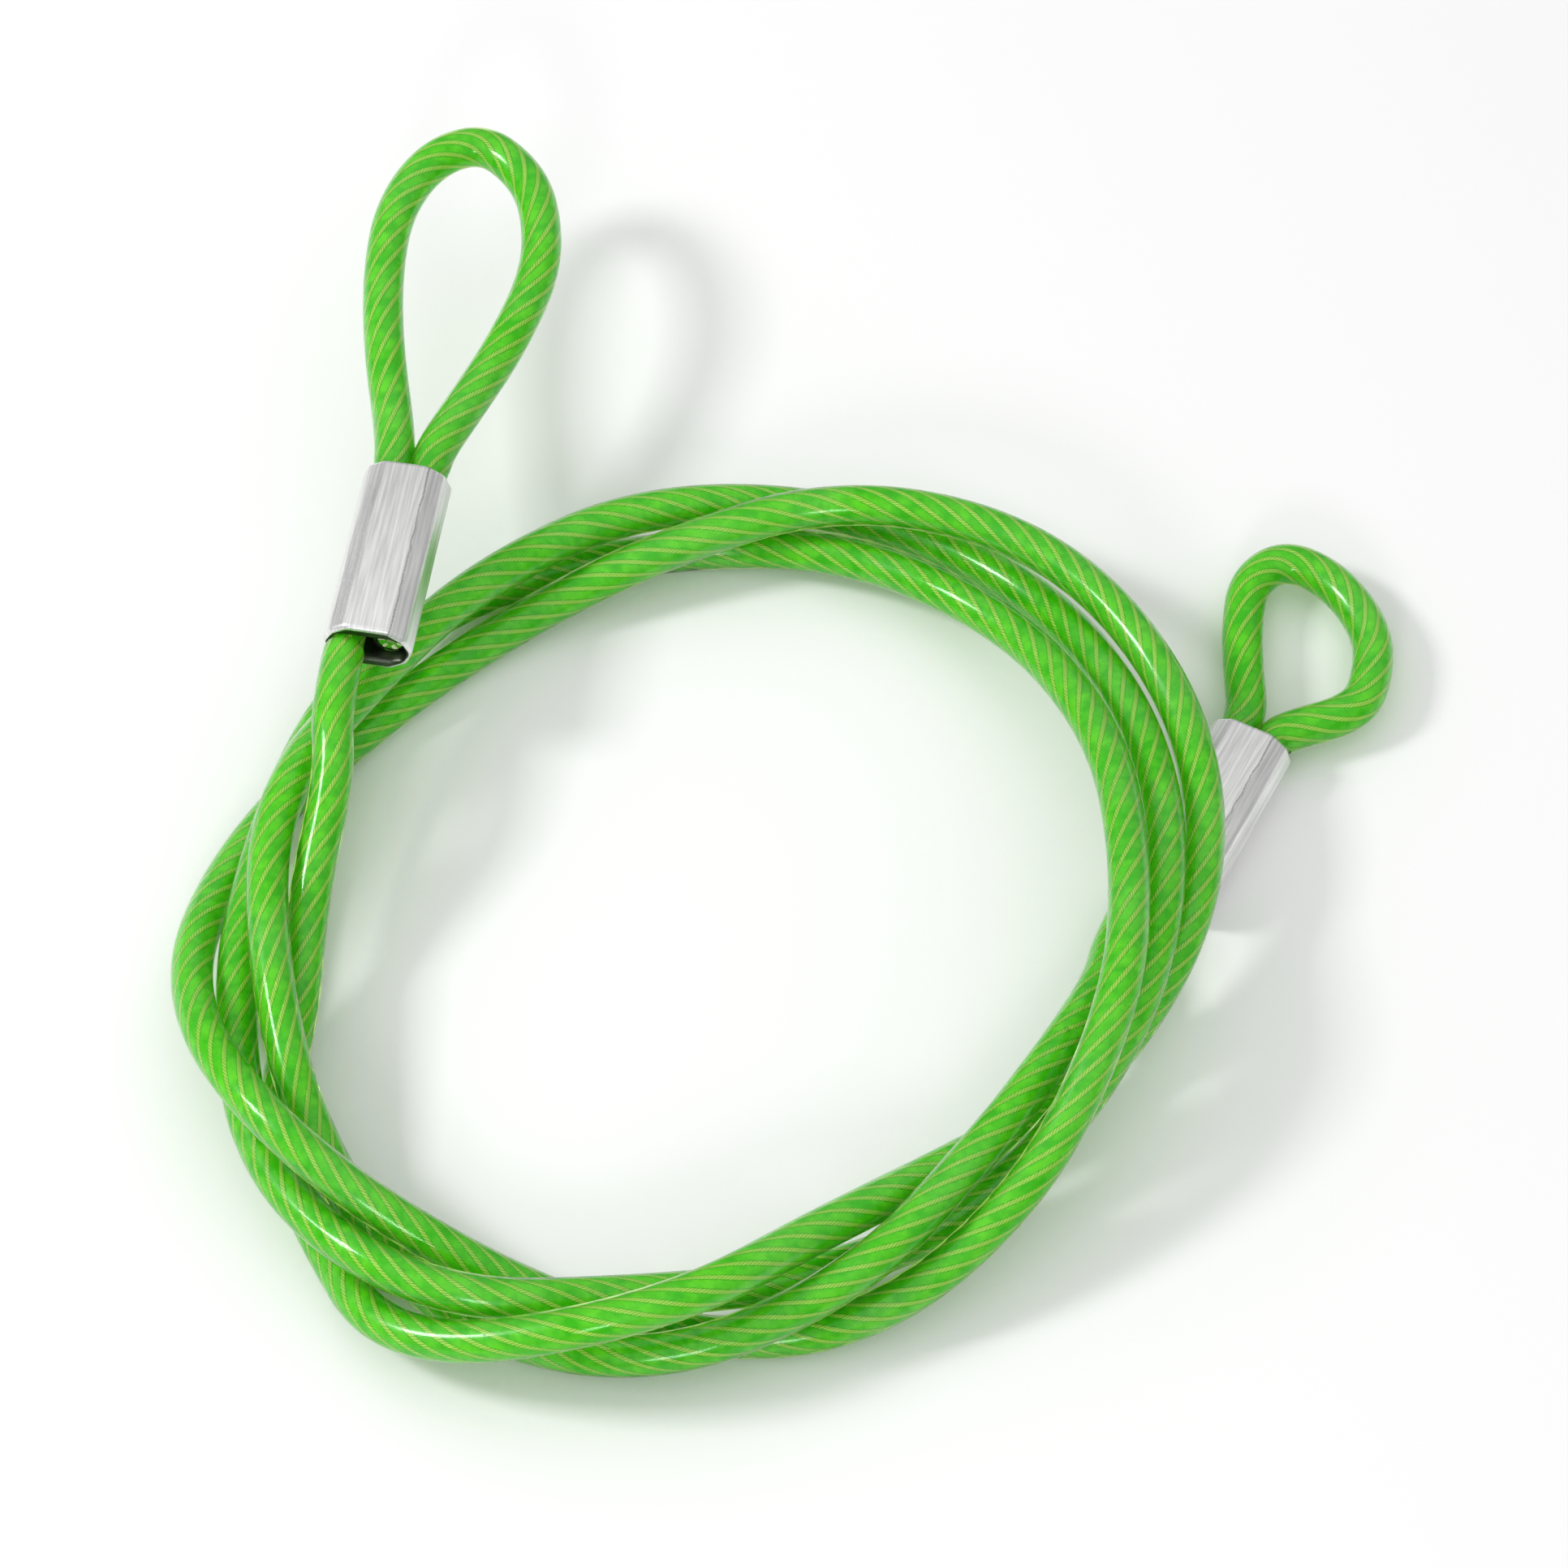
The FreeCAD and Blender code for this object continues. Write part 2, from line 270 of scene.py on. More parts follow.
# %% [markdown]
# ## The frame along the cable
# A tube needs to know, at each point of its line, which way is sideways and which way is up.
# This cable never stands on end, so sideways can be the level direction across it. That
# needs no walk along the line, and the strands keep their twist from piece to piece.

# %% Frame and grid helpers
def line_frame(line):
    """Unit vectors along, sideways and up at each point: side = z x along, up = along x side."""
    along = np.gradient(line, axis=0)
    along /= np.linalg.norm(along, axis=1, keepdims=True)
    side = np.cross([0, 0, 1], along)
    side /= np.linalg.norm(side, axis=1, keepdims=True)
    return along, side, np.cross(along, side)


def grid_mesh(name, grid, distances, around=None, caps=(False, False), ring=False):
    """A mesh from a rows x columns grid that closes round its columns.

    Corner (i, j) joins (i + 1, j), (i + 1, j + 1) and (i, j + 1). With ring, the last row
    joins the first. The UV map holds how far round and how far along. How far round is a
    share, 0 to 1, unless around gives it.
    """
    rows, columns = grid.shape[:2]
    if around is None:
        around = np.linspace(0, 1, columns + 1)
    i, j = np.meshgrid(np.arange(rows if ring else rows - 1), np.arange(columns), indexing="ij")
    below = (i + 1) % rows
    after = (j + 1) % columns
    corners = [i * columns + j, i * columns + after, below * columns + after, below * columns + j]
    faces = np.stack(corners, axis=-1).reshape(-1, 4)
    all_faces = faces.tolist()
    edge = np.arange(columns)
    if caps[0]:
        all_faces.append(edge[::-1].tolist())
    if caps[1]:
        all_faces.append((edge + (rows - 1) * columns).tolist())
    mesh = bpy.data.meshes.new(name)
    mesh.from_pydata(grid.reshape(-1, 3).tolist(), [], all_faces)
    round_part = around[np.stack([j, j + 1, j + 1, j], axis=-1)]
    row = np.stack([i, i, i + 1, i + 1], axis=-1)
    uv = np.stack([round_part, distances[row]], axis=-1).reshape(-1, 2)
    layer = mesh.uv_layers.new(name="lay")
    values = np.zeros((len(mesh.loops), 2), np.float32)
    values[:len(uv)] = uv
    layer.data.foreach_set("uv", values.ravel())
    smooth = [True] * len(faces) + [False] * (len(all_faces) - len(faces))
    mesh.polygons.foreach_set("use_smooth", smooth)
    mesh.update()
    return mesh


def add_piece(name, mesh, material):
    """A visible piece at the origin, with its place in its mesh."""
    piece = bpy.data.objects.new(name, mesh)
    scene.collection.objects.link(piece)
    mesh.materials.append(material)
    return piece


def joined(meshes, name):
    """Several meshes as one, in order."""
    parts = [bpy.data.objects.new(name, mesh) for mesh in meshes]
    for part in parts:
        scene.collection.objects.link(part)
    with bpy.context.temp_override(active_object=parts[0], selected_editable_objects=parts):
        bpy.ops.object.join()
    mesh = parts[0].data
    bpy.data.objects.remove(parts[0])
    return mesh


# %% [markdown]
# ## Materials
# The jacket is clear green plastic. It was pressed on hot, so it also fills the valleys
# between the strands, and only the strands' outer ridges stand clear of it. So there are
# three materials: a refracting one for the clear outer wall, a milky green without gloss for
# the plastic deep between the strands, and one for the strands, which is green on their
# coated sides and pale along their ridges. That pale yellow is partly steel under thin
# plastic and partly a painted highlight, where the lamps would glint on the wires, and the
# grooves between the wires carry a little painted shade. A wave draws the fine wires that
# each strand is laid up from. The helpers below take the node tree that they add to.

# %% Node helpers
def new_material(name):
    """A material with only a Principled shader and its output."""
    material = bpy.data.materials.new(name)
    material.use_nodes = True
    return material, material.node_tree, material.node_tree.nodes["Principled BSDF"]


def set_inputs(node, values):
    """Give each named socket its plain value."""
    for name, value in values.items():
        node.inputs[name].default_value = value


def plug(tree, socket, value):
    """Link another node's output to the socket, or fill in a plain number or colour."""
    if isinstance(value, bpy.types.NodeSocket):
        tree.links.new(value, socket)
    else:
        socket.default_value = value


def computed(tree, operation, *values):
    """The result of a Math node, whose values are plain numbers or sockets."""
    node = tree.nodes.new("ShaderNodeMath")
    node.operation = operation
    for socket, value in zip(node.inputs, values):
        plug(tree, socket, value)
    return node.outputs[0]


def faded(tree, value, low, high, first=0.0, last=1.0):
    """First where the value is below low, last where it is above high, even between them."""
    spread = tree.nodes.new("ShaderNodeMapRange")
    set_inputs(spread, {"From Min": low, "From Max": high, "To Min": first, "To Max": last})
    plug(tree, spread.inputs["Value"], value)
    return spread.outputs[0]


def mixed(tree, first, second, share):
    """A colour between two, each a plain colour or a socket."""
    mix = tree.nodes.new("ShaderNodeMix")
    mix.data_type = "RGBA"
    for name, value in (("A", first), ("B", second), ("Factor", share)):
        plug(tree, mix.inputs[name], value)
    return mix.outputs["Result"]


def bumped(tree, shader, height, strength, depth):
    """Feed the shader a normal that rises by depth where the height is 1."""
    bump = tree.nodes.new("ShaderNodeBump")
    set_inputs(bump, {"Strength": strength, "Distance": depth})
    tree.links.new(height, bump.inputs["Height"])
    tree.links.new(bump.outputs["Normal"], shader.inputs["Normal"])


def lay_map(tree):
    """The UV map as a vector, and its two numbers: how far round, and how far along."""
    uv = tree.nodes.new("ShaderNodeUVMap")
    uv.uv_map = "lay"
    split = tree.nodes.new("ShaderNodeSeparateXYZ")
    tree.links.new(uv.outputs["UV"], split.inputs[0])
    return uv.outputs["UV"], split.outputs["X"], split.outputs["Y"]


# %% Mottle, for the jacket and the filling
NOISE_LOW = 0.35
NOISE_HIGH = 0.65
MOTTLE_DETAIL = 3


def mottle_group():
    """Uneven plastic: a soft mask, 0 to 1, from noise in the object's own space."""
    group = bpy.data.node_groups.new("plastic mottle", "ShaderNodeTree")
    group.interface.new_socket("Scale", in_out="INPUT", socket_type="NodeSocketFloat")
    group.interface.new_socket("Mask", in_out="OUTPUT", socket_type="NodeSocketFloat")
    inputs = group.nodes.new("NodeGroupInput")
    outputs = group.nodes.new("NodeGroupOutput")
    place = group.nodes.new("ShaderNodeTexCoord")
    noise = group.nodes.new("ShaderNodeTexNoise")
    noise.inputs["Detail"].default_value = MOTTLE_DETAIL
    group.links.new(place.outputs["Object"], noise.inputs["Vector"])
    group.links.new(inputs.outputs["Scale"], noise.inputs["Scale"])
    mask = faded(group, noise.outputs["Fac"], NOISE_LOW, NOISE_HIGH)
    group.links.new(mask, outputs.inputs["Mask"])
    return group


MOTTLE = mottle_group()


def mottle(tree, scale):
    """The mottle group's mask at this scale."""
    node = tree.nodes.new("ShaderNodeGroup")
    node.node_tree = MOTTLE
    node.inputs["Scale"].default_value = scale
    return node.outputs["Mask"]


print("group:", MOTTLE.name)

# %% Clear jacket
JACKET_TINT = (0.6, 0.98, 0.2, 1)
JACKET_IOR = 1.5
JACKET_ROUGHNESS = 0.09
GLOSS_TINT = (0.4, 0.6, 0.4, 1)
HAZE_SCALE = 90
HAZE_MOST = 0.8
HAZE_ROUGHNESS = 0.3


def jacket_material():
    """Clear green plastic, glossy, with faint haze in patches from handling.

    The haze is a rough coat, so it widens the highlights and leaves the refraction clear.
    """
    material, tree, shader = new_material("green_jacket")
    set_inputs(shader, {
        "Base Color": JACKET_TINT,
        "Transmission Weight": 1.0,
        "IOR": JACKET_IOR,
        "Roughness": JACKET_ROUGHNESS,
        "Specular Tint": GLOSS_TINT,
        "Coat Roughness": HAZE_ROUGHNESS,
    })
    haze = computed(tree, "MULTIPLY", mottle(tree, HAZE_SCALE), HAZE_MOST)
    tree.links.new(haze, shader.inputs["Coat Weight"])
    return material


JACKET = jacket_material()
print("material:", JACKET.name)

# %% Plastic between the strands
MOTTLE_SCALE = 450
FILLING_DARK = (0.11, 0.75, 0.03, 1)
FILLING_LIGHT = (0.3, 0.99, 0.11, 1)


def filling_material():
    """Milky green plastic, darker in patches, with no gloss of its own."""
    material, tree, shader = new_material("green_filling")
    set_inputs(shader, {"Roughness": 1.0, "Specular IOR Level": 0.0})
    colour = mixed(tree, FILLING_DARK, FILLING_LIGHT, mottle(tree, MOTTLE_SCALE))
    tree.links.new(colour, shader.inputs["Base Color"])
    return material


FILLING = filling_material()
print("material:", FILLING.name)

# %% Steel strands
WIRES = 12
WIRE_LAY = 0.005
# The wire colour is partly pale steel under thin plastic, partly a painted highlight where the
# lamps would glint.
WIRE_AND_HIGHLIGHT_COLOUR = (0.95, 1.0, 0.62, 1)
# The groove colour is the plastic's green, a little darker than the coated sides as painted shade
# between the wires.
GROOVE_COLOUR = (0.13, 0.65, 0.04, 1)
COATED_COLOUR = (0.12, 0.7, 0.04, 1)
GROOVE_FADE = (0.02, 0.3)
RIDGE_FADE = (0.89, 0.94)
STRAND_ROUGHNESS = 0.3
METAL_SHARE = 0.1
WIRE_DEPTH = 0.00003


def strand_waves(tree):
    """The wires' height, and how near the strand's outer ridge a place is, from the UV map.

    The height is half of 1 + sin(2 pi wires (share round + distance / lay)). The nearness is
    cos(2 pi share round), since the share is counted from the ridge.
    """
    _, share, distance = lay_map(tree)
    turns = computed(tree, "MULTIPLY", share, 2 * math.pi * WIRES)
    phase = computed(tree, "MULTIPLY_ADD", distance, 2 * math.pi * WIRES / WIRE_LAY, turns)
    height = computed(tree, "MULTIPLY_ADD", computed(tree, "SINE", phase), 0.5, 0.5)
    angle = computed(tree, "MULTIPLY", share, 2 * math.pi)
    return height, computed(tree, "COSINE", angle)


def strand_material():
    """Wires that show pale and slightly metallic along the ridge, under green beside it.

    The wires' pale yellow along the ridge is partly steel under thin plastic and partly a
    painted highlight, where the lamps would glint on the wires. The grooves between them stay
    green, a little darker as painted shade, so each ridge reads as a beaded line.
    """
    material, tree, shader = new_material("steel_strand")
    shader.inputs["Roughness"].default_value = STRAND_ROUGHNESS
    height, nearness = strand_waves(tree)
    bare = faded(tree, nearness, *RIDGE_FADE)
    # Pale wires on the ridge, partly a painted highlight, and slightly darker grooves, painted
    # shade between them.
    wires = mixed(tree, GROOVE_COLOUR, WIRE_AND_HIGHLIGHT_COLOUR, faded(tree, height, *GROOVE_FADE))
    colour = mixed(tree, COATED_COLOUR, wires, bare)
    tree.links.new(colour, shader.inputs["Base Color"])
    tree.links.new(computed(tree, "MULTIPLY", bare, METAL_SHARE), shader.inputs["Metallic"])
    bumped(tree, shader, height, 1.0, WIRE_DEPTH)
    return material


STRAND = strand_material()
print("material:", STRAND.name)

# %% [markdown]
# ## Jacket, filling and strands
# The jacket is a circle carried along the line, pressed flat where it lies on the ground and
# squeezed where a ferrule holds it. The filling is a smaller circle. The rope is six strands
# round a core. A strand is a circle whose centre winds round the line, one turn in each lay
# length. The tubes are closed only at the cable's two dead ends, so that light runs on from
# one stretch to the next.

# %% How wide the jacket is
SQUEEZED_D = 0.0043
FAR_RAMP = 0.003
NEAR_RAMP = 0.001
FERRULE_REACH = 1.5 * FERRULE_LENGTH


def eased(share):
    """A smooth step from 0 to 1."""
    share = np.clip(share, 0, 1)
    return share * share * (3 - 2 * share)


def jacket_radius(line, end):
    """Full in the open, and squeezed from the ferrule's mouth to its far face.

    A place far from the mouth is in the open, even if it is level with the ferrule.
    """
    if end is None:
        return np.full(len(line), JACKET_D / 2)
    mouth, forward, _ = ferrule_axes(end)
    along = (line - mouth) @ forward
    before = eased(-along / NEAR_RAMP)
    beyond = eased((along - FERRULE_LENGTH) / FAR_RAMP)
    far = np.linalg.norm(line - mouth, axis=1) > FERRULE_REACH
    full = np.maximum(np.maximum(before, beyond), far)
    return 0.5 * (SQUEEZED_D + (JACKET_D - SQUEEZED_D) * full)


# The end whose ferrule each stretch runs into.
HELD_BY = {
    "upper_eye": UPPER,
    "upper_tail": UPPER,
    "coil": None,
    "side_tail": SIDE,
    "side_eye": SIDE,
}
print("jacket:", JACKET_D, "wide, squeezed to", SQUEEZED_D)

# %% Tubes along a line
JACKET_SIDES = 32
FILLING_R = 0.00153
FILLING_SIDES = 20


def tube_mesh(name, line, radius, sides, caps):
    """P(s, a) = line(s) + radius(s) (cos a side + sin a up), never below the ground."""
    _, side, up = line_frame(line)
    a = np.linspace(0, 2 * math.pi, sides, endpoint=False)[None, :, None]
    ring = np.cos(a) * side[:, None] + np.sin(a) * up[:, None]
    grid = line[:, None] + radius[:, None, None] * ring
    grid[..., 2] = np.maximum(grid[..., 2], 0)
    return grid_mesh(name, grid, lengths_along(line), caps=caps)


# %% The rope's strands
STRANDS = 6
STRAND_R = ROPE_D / 6
STRAND_ANGLES = np.radians([0, 12, 24, 38, 70, 130, 230, 290, 322, 336, 348])
CORE_SIDES = 6
ROPE_LAY = 0.0225


def strand_mesh(name, line, start, number):
    """Centre(s) = line(s) + 2r (cos t side + sin t up), t = 2 pi (start + s) / lay + its share.

    The strand's own circle starts at its outer ridge, where its points lie closest.
    """
    along, side, up = line_frame(line)
    turn = 2 * math.pi * ((start + lengths_along(line)) / ROPE_LAY + number / STRANDS)
    outward = np.cos(turn)[:, None] * side + np.sin(turn)[:, None] * up
    centre = line + 2 * STRAND_R * outward
    across = np.cross(line_frame(centre)[0], outward)
    a = STRAND_ANGLES[None, :, None]
    grid = centre[:, None] + STRAND_R * (np.cos(a) * outward[:, None] + np.sin(a) * across[:, None])
    shares = np.append(STRAND_ANGLES / (2 * math.pi), 1)
    distances = start + lengths_along(line)
    return grid_mesh(name, grid, distances, around=shares, caps=(True, True))


def rope_mesh(name, line, start):
    """Six strands and their core, as one piece."""
    meshes = [strand_mesh(name, line, start, number) for number in range(STRANDS)]
    meshes.append(tube_mesh(name, line, np.full(len(line), STRAND_R), CORE_SIDES, (True, True)))
    return joined(meshes, name)


print("strands:", STRANDS, "round a core, each", round(2 * STRAND_R, 5), "wide")

# %% Make every stretch
# Whether the tube is closed at its first and at its last ring.
DEAD_ENDS = {"upper_eye": (True, False), "side_eye": (False, True)}

jackets = {}
fillings = {}
ropes = {}
start = 0.0
for stretch, line in LINES.items():
    caps = DEAD_ENDS.get(stretch, (False, False))
    mesh = tube_mesh(stretch, line, jacket_radius(line, HELD_BY[stretch]), JACKET_SIDES, caps)
    jackets[stretch] = add_piece(stretch + "_green_jacket", mesh, JACKET)
    mesh = tube_mesh(stretch, line, np.full(len(line), FILLING_R), FILLING_SIDES, caps)
    fillings[stretch] = add_piece(stretch + "_green_filling", mesh, FILLING)
    mesh = rope_mesh(stretch, line, start)
    ropes[stretch] = add_piece(stretch + "_strands", mesh, STRAND)
    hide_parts(stretch + "_jacket")
    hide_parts(stretch + "_wire_rope")
    start += LENGTHS[stretch]
    print(stretch, len(jackets[stretch].data.polygons), len(ropes[stretch].data.polygons))

# %% [markdown]
# ## Riding
# The coil stays, and an eye moves with its ferrule. A tail rides on neither: it keeps its
# place in the world.

# %% Bodies
for piece in (jackets["coil"], fillings["coil"], ropes["coil"]):
    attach(piece, "coil")
for end, body, tail in (("upper", "upper_end", upper_tail), ("side", "side_end", side_tail)):
    for pieces in (jackets, fillings, ropes):
        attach(pieces[end + "_eye"], body)
        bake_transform(pieces[end + "_tail"])
    print(end, "tail bends from", tail[0].round(4).tolist(), "to", tail[-1].round(4).tolist())

EXITS = {
    "upper_eye": LINES["upper_eye"][-1],
    "upper_tail": LINES["upper_tail"][0],
    "coil": LINES["coil"][0],
    "side_eye": LINES["side_eye"][0],
}
ON_CORD = {stretch: [fillings[stretch], ropes[stretch]] for stretch in EXITS}
ON_CORD["coil"] += [jackets["side_tail"], fillings["side_tail"], ropes["side_tail"]]
for stretch, place in EXITS.items():
    line = LINES[stretch]
print("cords:", list(EXITS))

# %% [markdown]
# ## Ferrules
# Each ferrule is a short aluminium tube, pressed to an oval in a crimping tool. The jaws
# leave ten lengthwise flats with soft corners, and the ends come out rounded. So the shape is
# one closed profile, out along the outside and back through the bore, carried round the
# oval. The bore is a slot that holds the two legs side by side.

# %% The ferrule's outline
FERRULE_FLAT = 0.0014
FERRULE_R = 0.0041
CRIMP_ANGLES = np.radians([-72, -36, 0, 36, 72])
CORNER_R = 0.0016
CORNER_POINTS = 5


def ferrule_outline():
    """Points round the section and their outward normals.

    The flats' corners lie on two half circles. Each corner becomes an arc whose centre is
    r / cos(turn / 2) inside the corner, on its bisector.
    """
    half = np.stack([FERRULE_FLAT + FERRULE_R * np.cos(CRIMP_ANGLES),
                     FERRULE_R * np.sin(CRIMP_ANGLES)], axis=1)
    corners = np.vstack([half, -half])
    run = np.roll(corners, -1, axis=0) - corners
    after = np.arctan2(run[:, 1], run[:, 0])
    before = np.roll(after, 1)
    turn = (after - before) % (2 * math.pi)
    bisector = before + turn / 2 - math.pi / 2
    inward = np.stack([np.cos(bisector), np.sin(bisector)], axis=1)
    centre = corners - inward * (CORNER_R / np.cos(turn / 2))[:, None]
    facing = (before - math.pi / 2)[:, None] + turn[:, None] * np.linspace(0, 1, CORNER_POINTS)
    normals = np.stack([np.cos(facing), np.sin(facing)], axis=-1)
    points = centre[:, None] + CORNER_R * normals
    return points.reshape(-1, 2), normals.reshape(-1, 2)


print("ferrule section:", np.ptp(ferrule_outline()[0], axis=0).round(5).tolist())

# %% The ferrule's profile
END_ROUND = 0.0006
BORE_HALF = 0.0022
BELL = 0.00025
BELL_LENGTH = 0.0012
ROUND_ROWS = 5
BELL_ROWS = 4


def ferrule_profile():
    """Along the outside: distance and inset. Along the bore: distance and half height.

    Each outer end is a quarter circle. The bore opens towards each face as the square of
    how near the face is.
    """
    q = np.linspace(0, math.pi / 2, ROUND_ROWS)
    near_end = END_ROUND * (1 - np.cos(q))
    inset = END_ROUND * (1 - np.sin(q))
    outside = np.concatenate([near_end, FERRULE_LENGTH - near_end[::-1]])
    insets = np.concatenate([inset, inset[::-1]])
    depth = np.linspace(0, BELL_LENGTH, BELL_ROWS)
    opening = BORE_HALF + BELL * (1 - depth / BELL_LENGTH) ** 2
    inside = np.concatenate([FERRULE_LENGTH - depth, depth[::-1]])
    return outside, insets, inside, np.concatenate([opening, opening[::-1]])


def ferrule_mesh(name, end):
    """The outline inset along the outside, and the slot's wall back along the bore.

    The slot's wall lies its half height away from the level segment between the two legs.
    In the UV map, how far along runs on from the outside into the bore.
    """
    points, normals = ferrule_outline()
    outside, insets, inside, openings = ferrule_profile()
    outer = points[None] - insets[:, None, None] * normals
    spine = np.clip(points[:, 0], -LEG_OFFSET, LEG_OFFSET)
    spine = np.stack([spine, np.zeros(len(points))], axis=1)
    away = points - spine
    away /= np.linalg.norm(away, axis=1, keepdims=True)
    inner = spine[None] + openings[:, None, None] * away
    section = np.concatenate([outer, inner])
    distance = np.concatenate([outside, inside])
    mouth, forward, left = ferrule_axes(end)
    grid = mouth + section[..., :1] * left + section[..., 1:] * np.array([0, 0, 1])
    grid = grid + distance[:, None, None] * forward
    sides = np.linalg.norm(np.roll(points, -1, axis=0) - points, axis=1)
    around = np.concatenate([[0], np.cumsum(sides)])
    profile = np.stack([distance, np.concatenate([-insets, openings])], axis=1)
    travel = np.concatenate([[0], np.cumsum(np.linalg.norm(np.diff(profile, axis=0), axis=1))])
    travel = np.append(travel, travel[-1] + BELL)
    return grid_mesh(name, grid, travel, around=around, ring=True)


# %% [markdown]
# ## Bare aluminium
# A ferrule is cut from drawn tube, so fine lines run along it, with small pits among them,
# and the jaws left one crease, whose dark line is painted shade. The bore's near-black colour
# is painted shade inside it. A picture of metal would blur from near by. So noise is read on
# the ferrule's own UV map, which is in metres: drawn out along it for the lines, even for the
# pits, and only along it for the way that the crease wanders.

# %% Drawn aluminium
GRAIN_ROUND = 2600
GRAIN_ALONG = 120
GRAIN_DETAIL = 4
GRAIN_STRENGTH = 0.5
PIT_SCALE = 4000
PIT_DETAIL = 2
PIT_FADE = (0.3, 0.7)
GRAIN_DARK = (0.35, (0.68, 0.68, 0.68, 1))
GRAIN_LIGHT = (0.65, (0.94, 0.94, 0.93, 1))
CREASE_AT = 0.016
CREASE_WIDTH = 0.00012
CREASE_WANDER = 0.0006
WANDER_SCALE = 300
WANDER_DETAIL = 2
# The crease's dark colour is painted shade, and the bore's near-black colour is painted shade
# inside the bore.
CREASE_SHADE_COLOUR = (0.18, 0.18, 0.18, 1)
BORE_SHADE_COLOUR = (0.1, 0.11, 0.09, 1)
BORE_STARTS = FERRULE_LENGTH + 0.001
SMOOTHEST = 0.28
ROUGHEST = 0.42
GRAIN_DEPTH = 0.00003


def stretched_noise(tree, vector, scale, detail):
    """Noise read with its own scale round and along."""
    stretch = tree.nodes.new("ShaderNodeVectorMath")
    stretch.operation = "MULTIPLY"
    stretch.inputs[1].default_value = scale
    noise = tree.nodes.new("ShaderNodeTexNoise")
    set_inputs(noise, {"Scale": 1, "Detail": detail})
    tree.links.new(vector, stretch.inputs[0])
    tree.links.new(stretch.outputs[0], noise.inputs["Vector"])
    return noise.outputs["Fac"]


def toned(tree, value, first, second):
    """A colour ramp between two stops, each a position and a colour."""
    ramp = tree.nodes.new("ShaderNodeValToRGB")
    for element, (position, colour) in zip(ramp.color_ramp.elements, (first, second)):
        element.position = position
        element.color = colour
    tree.links.new(value, ramp.inputs["Fac"])
    return ramp.outputs["Color"]


def aluminium_material():
    """Bare aluminium: drawn lengthwise, a little pitted, with one dark crease from the jaws.

    The crease is where how far round is at + wander (noise - 1/2), and noise breaks it up.
    Its dark colour is painted shade in the crease, and the bore is painted near black, as
    painted shade inside it.
    """
    material, tree, shader = new_material("crimped_aluminium")
    shader.inputs["Metallic"].default_value = 1.0
    place, around, along = lay_map(tree)
    grain = stretched_noise(tree, place, (GRAIN_ROUND, GRAIN_ALONG, 1), GRAIN_DETAIL)
    pits = stretched_noise(tree, place, (PIT_SCALE, PIT_SCALE, 1), PIT_DETAIL)
    wander = stretched_noise(tree, place, (0, WANDER_SCALE, 1), WANDER_DETAIL)
    start = CREASE_AT - CREASE_WANDER / 2
    line = computed(tree, "MULTIPLY_ADD", wander, CREASE_WANDER, start)
    crease = computed(tree, "COMPARE", around, line, CREASE_WIDTH)
    metal = toned(tree, grain, GRAIN_DARK, GRAIN_LIGHT)
    # The dark crease line is painted shade.
    creased = mixed(tree, metal, CREASE_SHADE_COLOUR, computed(tree, "MULTIPLY", crease, pits))
    inside = computed(tree, "GREATER_THAN", along, BORE_STARTS)
    # Inside the bore the colour is near black: painted shade in the recess.
    tree.links.new(mixed(tree, creased, BORE_SHADE_COLOUR, inside), shader.inputs["Base Color"])
    dull = faded(tree, pits, *PIT_FADE, SMOOTHEST, ROUGHEST)
    tree.links.new(dull, shader.inputs["Roughness"])
    bumped(tree, shader, computed(tree, "ADD", grain, pits), GRAIN_STRENGTH, GRAIN_DEPTH)
    return material


ALUMINIUM = aluminium_material()
print("material:", ALUMINIUM.name)

# %% Make the ferrules
for name, end in (("upper", UPPER), ("side", SIDE)):
    sleeve = add_piece(name + "_crimped_ferrule", ferrule_mesh(name, end), ALUMINIUM)
    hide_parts(name + "_ferrule")
    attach(sleeve, name + "_end")
    print(sleeve.name, len(sleeve.data.polygons))

# %% [markdown]
# ## Floor and light
# A pale floor under a soft sky that is brightest overhead. One lamp stands at the left and a
# weaker one at the front, so that whichever way the cable runs, one of them shines across it
# and draws a thin white streak along its jacket.

# %% Floor
FLOOR_SIZE = 6.0
FLOOR_COLOUR = (0.95, 0.95, 0.95, 1)
FLOOR_ROUGHNESS = 0.7


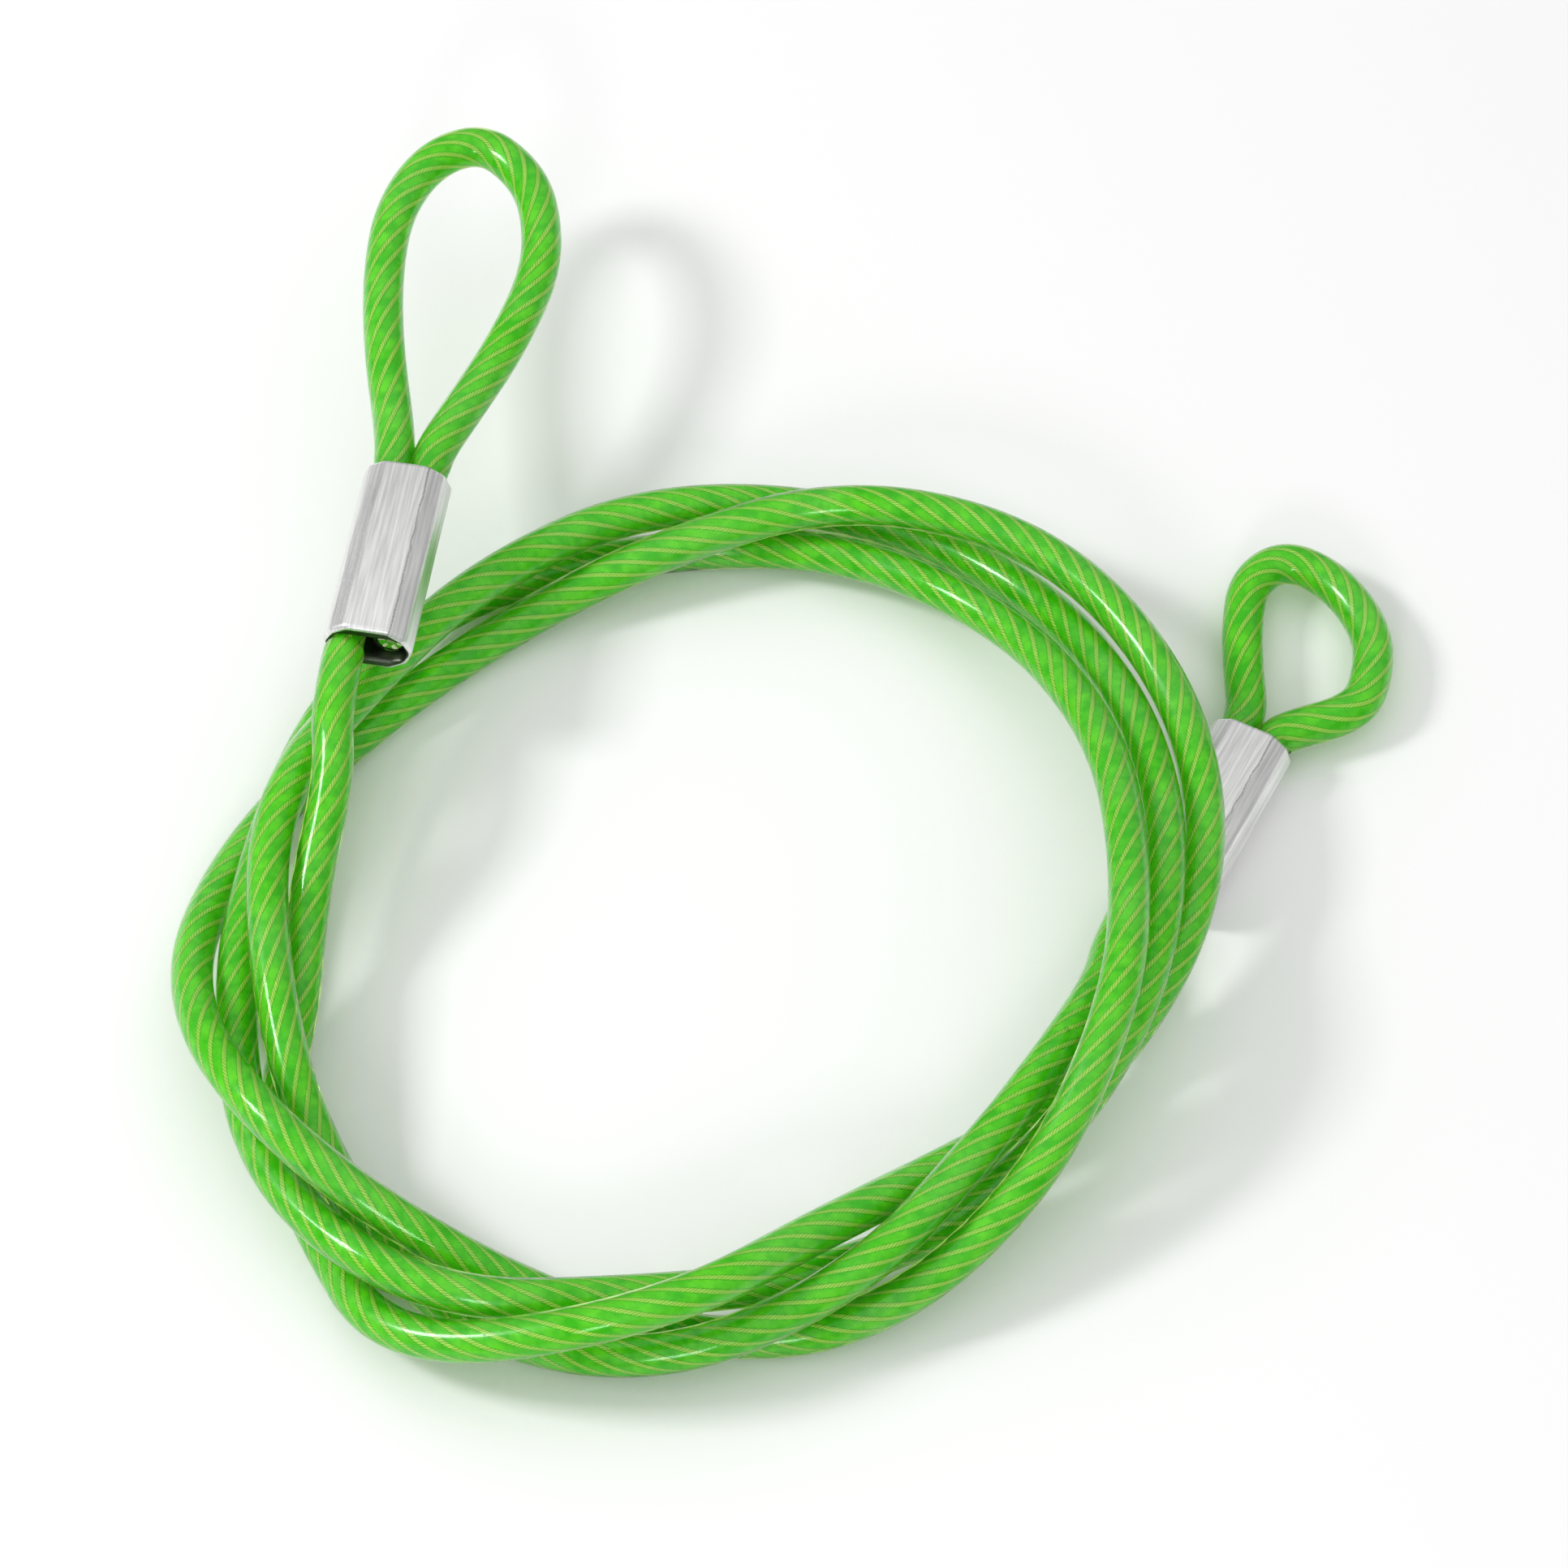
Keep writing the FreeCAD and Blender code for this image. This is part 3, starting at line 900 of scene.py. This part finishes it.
def floor_material():
    """A plain pale floor, nearly without gloss."""
    material, _, shader = new_material("pale_floor")
    set_inputs(shader, {"Base Color": FLOOR_COLOUR, "Roughness": FLOOR_ROUGHNESS})
    return material


half = FLOOR_SIZE / 2
corners = [(-half, -half, 0), (half, -half, 0), (half, half, 0), (-half, half, 0)]
floor_mesh = bpy.data.meshes.new("floor")
floor_mesh.from_pydata(corners, [], [(0, 1, 2, 3)])
floor_mesh.materials.append(floor_material())
floor = bpy.data.objects.new("floor", floor_mesh)
scene.collection.objects.link(floor)
print("floor side:", FLOOR_SIZE)

# %% Lamps
LAMP_SIZE = 0.2
# Each lamp's place, and its power in watts.
LAMPS = {
    "left_lamp": ((-0.75, 0.0, 0.68), 4.2),
    "front_lamp": ((-0.15, -0.88, 0.5), 1.5),
}


def soft_lamp(name, place, power):
    """A square area lamp that faces the coil."""
    lamp = bpy.data.objects.new(name, bpy.data.lights.new(name, "AREA"))
    scene.collection.objects.link(lamp)
    lamp.data.size = LAMP_SIZE
    lamp.data.energy = power
    lamp.location = place
    away = np.array(place) - AIM
    azimuth = math.atan2(away[1], away[0])
    tilt = math.atan2(math.hypot(away[0], away[1]), away[2])
    lamp.rotation_euler = (0, tilt, azimuth)


for name, (place, power) in LAMPS.items():
    soft_lamp(name, place, power)
print("lamps:", list(LAMPS))

# %% Sky
LOW_SKY = 0.3
HIGH_SKY = 0.95


def sky():
    """Brighter the higher it is: the direction's own height sets the strength."""
    world = bpy.data.worlds.new("surround")
    world.use_nodes = True
    tree = world.node_tree
    direction = tree.nodes.new("ShaderNodeTexCoord")
    split = tree.nodes.new("ShaderNodeSeparateXYZ")
    tree.links.new(direction.outputs["Generated"], split.inputs[0])
    background = tree.nodes["Background"]
    background.inputs["Color"].default_value = (1, 1, 1, 1)
    strength = faded(tree, split.outputs["Z"], 0.0, 1.0, LOW_SKY, HIGH_SKY)
    tree.links.new(strength, background.inputs["Strength"])
    return world


scene.world = sky()
print("sky strength:", LOW_SKY, "to", HIGH_SKY)
